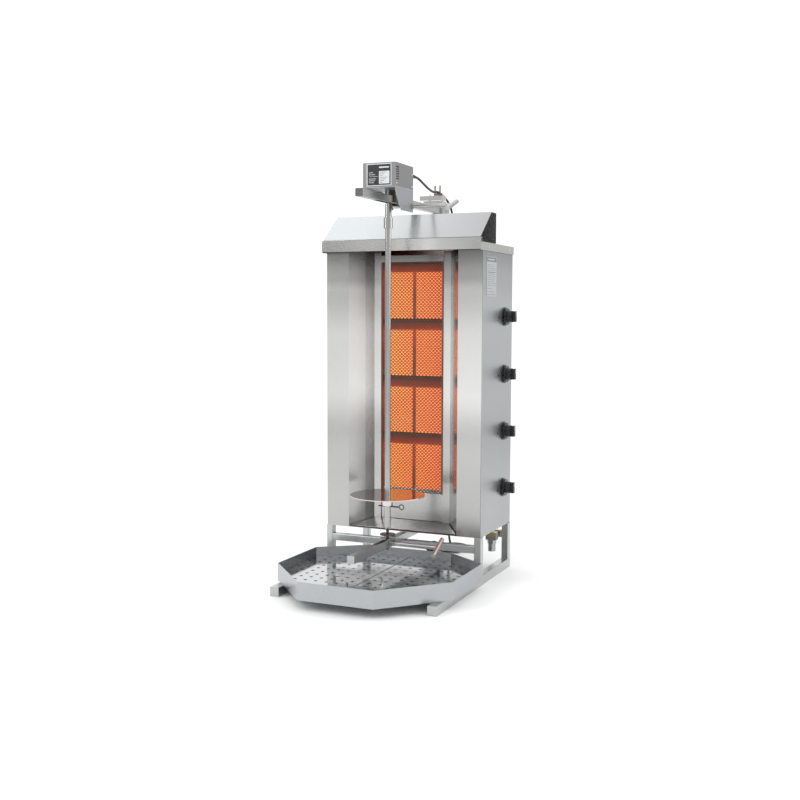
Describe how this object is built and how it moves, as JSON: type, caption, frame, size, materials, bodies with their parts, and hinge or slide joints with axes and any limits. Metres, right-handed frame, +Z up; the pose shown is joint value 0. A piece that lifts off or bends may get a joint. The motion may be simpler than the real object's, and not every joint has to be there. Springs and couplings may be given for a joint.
{
  "type": "vertical gas grill",
  "caption": "Vertical gas grill: stacked radiant burners behind a mesh in a steel housing, a motor-driven upright spit that slides on two bars, side gas knobs and a sliding drip tray.",
  "frame": {"origin": "centre of the base of the whole grill without its motor cord, on the surface it stands on", "axes": "+X is the operator's right, where the knobs are; +Y is the back, away from the operator; +Z is up"},
  "size_m": [0.512, 0.8448, 1.115],
  "materials": {
    "steel": "satin stainless tube and sheet",
    "panel": "brushed stainless sheet",
    "reflector": "bright stainless sheet",
    "bright": "polished stainless",
    "dark": "heat-darkened steel",
    "motor_grey": "satin grey",
    "handle": "satin steel, slightly tanned",
    "plaque": "glowing porous ceramic",
    "knob_black": "gloss black",
    "brass": "satin",
    "cord_black": "matt black",
    "plate_black": "printed plate, blank",
    "plate_silver": "satin plate, blank"
  },
  "bodies": {
    "stand": {"foot_rail_left": "steel", "foot_rail_right": "steel", "tube_end_caps": "steel", "frame_posts": "steel", "cross_tubes": "steel", "lower_bar": "steel", "side_panel_left": "panel", "side_panel_right": "panel", "wing_left": "reflector", "wing_right": "reflector", "back_panel": "panel", "floor_panel": "reflector", "burner_plate": "dark", "burner_bodies": "dark", "burner_plaques": "plaque", "guard_frame": "steel", "mesh_guard": "dark", "cap": "steel", "hood": "bright", "gas_manifold": "steel", "gas_valves": "brass", "gas_pipes": "brass", "gas_inlet": "brass", "knob_bezels": "knob_black", "rating_plate": "plate_silver", "mast": "steel", "mast_head": "steel", "height_clamp": "bright", "cord_fork": "dark", "upper_bar": "bright", "panel_screws": "bright", "motor_cord": "cord_black", "cord_coil": "cord_black", "motor_plug": "cord_black"},
    "motor_carriage": {"carriage_frame": "motor_grey", "guide_shoe": "dark", "motor_housing": "motor_grey", "type_plate": "plate_black", "drive_motor": "dark", "gearbox": "dark", "cord_gland": "cord_black"},
    "upper_lever": {"upper_clamp_lever": "handle"},
    "drive": {"drive_sleeve": "steel"},
    "spit": {"spit_rod": "bright"},
    "disc": {"meat_disc": "steel"},
    "pin": {"retaining_pin": "bright"},
    "saddle": {"lower_saddle": "steel", "bearing_pin": "dark"},
    "lower_lever": {"lower_clamp_lever": "handle"},
    "tray": {"drip_tray": "steel"},
    "insert_left": {"tray_insert_left": "bright"},
    "insert_right": {"tray_insert_right": "bright"},
    "stem_1": {"valve_stem_1": "steel"},
    "knob_1": {"knob_1": "knob_black"},
    "stem_2": {"valve_stem_2": "steel"},
    "knob_2": {"knob_2": "knob_black"},
    "stem_3": {"valve_stem_3": "steel"},
    "knob_3": {"knob_3": "knob_black"},
    "stem_4": {"valve_stem_4": "steel"},
    "knob_4": {"knob_4": "knob_black"}
  },
  "joints": [
    {"name": "carriage_slide", "type": "slide", "parent": "stand", "child": "motor_carriage", "axis": [0, 1, 0], "range_m": [-0.07, 0.04], "deforming": ["motor_cord"]},
    {"name": "saddle_slide", "type": "slide", "parent": "stand", "child": "saddle", "axis": [0, 1, 0], "range_m": [-0.07, 0.04]},
    {"name": "drive_spin", "type": "hinge", "parent": "motor_carriage", "child": "drive", "pos_m": [-0.008, -0.053, 1], "axis": [0, 0, 1], "continuous": true},
    {"name": "spit_lift", "type": "slide", "parent": "drive", "child": "spit", "axis": [0, 0, 1], "range_m": [0, 0.02]},
    {"name": "disc_slide", "type": "slide", "parent": "spit", "child": "disc", "axis": [0, 0, 1], "range_m": [0, 0.6]},
    {"name": "pin_pull", "type": "slide", "parent": "spit", "child": "pin", "axis": [1, 0, 0], "range_m": [0, 0.06]},
    {"name": "upper_lever_turn", "type": "hinge", "parent": "motor_carriage", "child": "upper_lever", "pos_m": [-0.008, -0.004, 1.012], "axis": [1, 0, 0], "range_deg": [0, 100]},
    {"name": "lower_lever_turn", "type": "hinge", "parent": "saddle", "child": "lower_lever", "pos_m": [0.052, -0.053, 0.117], "axis": [1, 0, 0], "range_deg": [-180, 180]},
    {"name": "tray_slide", "type": "slide", "parent": "stand", "child": "tray", "axis": [0, -1, 0], "range_m": [0, 0.3]},
    {"name": "insert_left_lift", "type": "slide", "parent": "tray", "child": "insert_left", "axis": [0, 0, 1], "range_m": [0, 0.035]},
    {"name": "insert_right_lift", "type": "slide", "parent": "tray", "child": "insert_right", "axis": [0, 0, 1], "range_m": [0, 0.035]},
    {"name": "stem_1_push", "type": "slide", "parent": "stand", "child": "stem_1", "axis": [-1, 0, 0], "range_m": [0, 0.003], "stiffness_N_per_m": 900},
    {"name": "knob_1_turn", "type": "hinge", "parent": "stem_1", "child": "knob_1", "pos_m": [0.237, 0.227, 0.722], "axis": [1, 0, 0], "range_deg": [0, 210]},
    {"name": "stem_2_push", "type": "slide", "parent": "stand", "child": "stem_2", "axis": [-1, 0, 0], "range_m": [0, 0.003], "stiffness_N_per_m": 900},
    {"name": "knob_2_turn", "type": "hinge", "parent": "stem_2", "child": "knob_2", "pos_m": [0.237, 0.227, 0.562], "axis": [1, 0, 0], "range_deg": [0, 210]},
    {"name": "stem_3_push", "type": "slide", "parent": "stand", "child": "stem_3", "axis": [-1, 0, 0], "range_m": [0, 0.003], "stiffness_N_per_m": 900},
    {"name": "knob_3_turn", "type": "hinge", "parent": "stem_3", "child": "knob_3", "pos_m": [0.237, 0.227, 0.402], "axis": [1, 0, 0], "range_deg": [0, 210]},
    {"name": "stem_4_push", "type": "slide", "parent": "stand", "child": "stem_4", "axis": [-1, 0, 0], "range_m": [0, 0.003], "stiffness_N_per_m": 900},
    {"name": "knob_4_turn", "type": "hinge", "parent": "stem_4", "child": "knob_4", "pos_m": [0.237, 0.227, 0.242], "axis": [1, 0, 0], "range_deg": [0, 210]}
  ],
  "couplings": [
    {"joint": "saddle_slide", "follows": "carriage_slide", "ratio": 1}
  ]
}
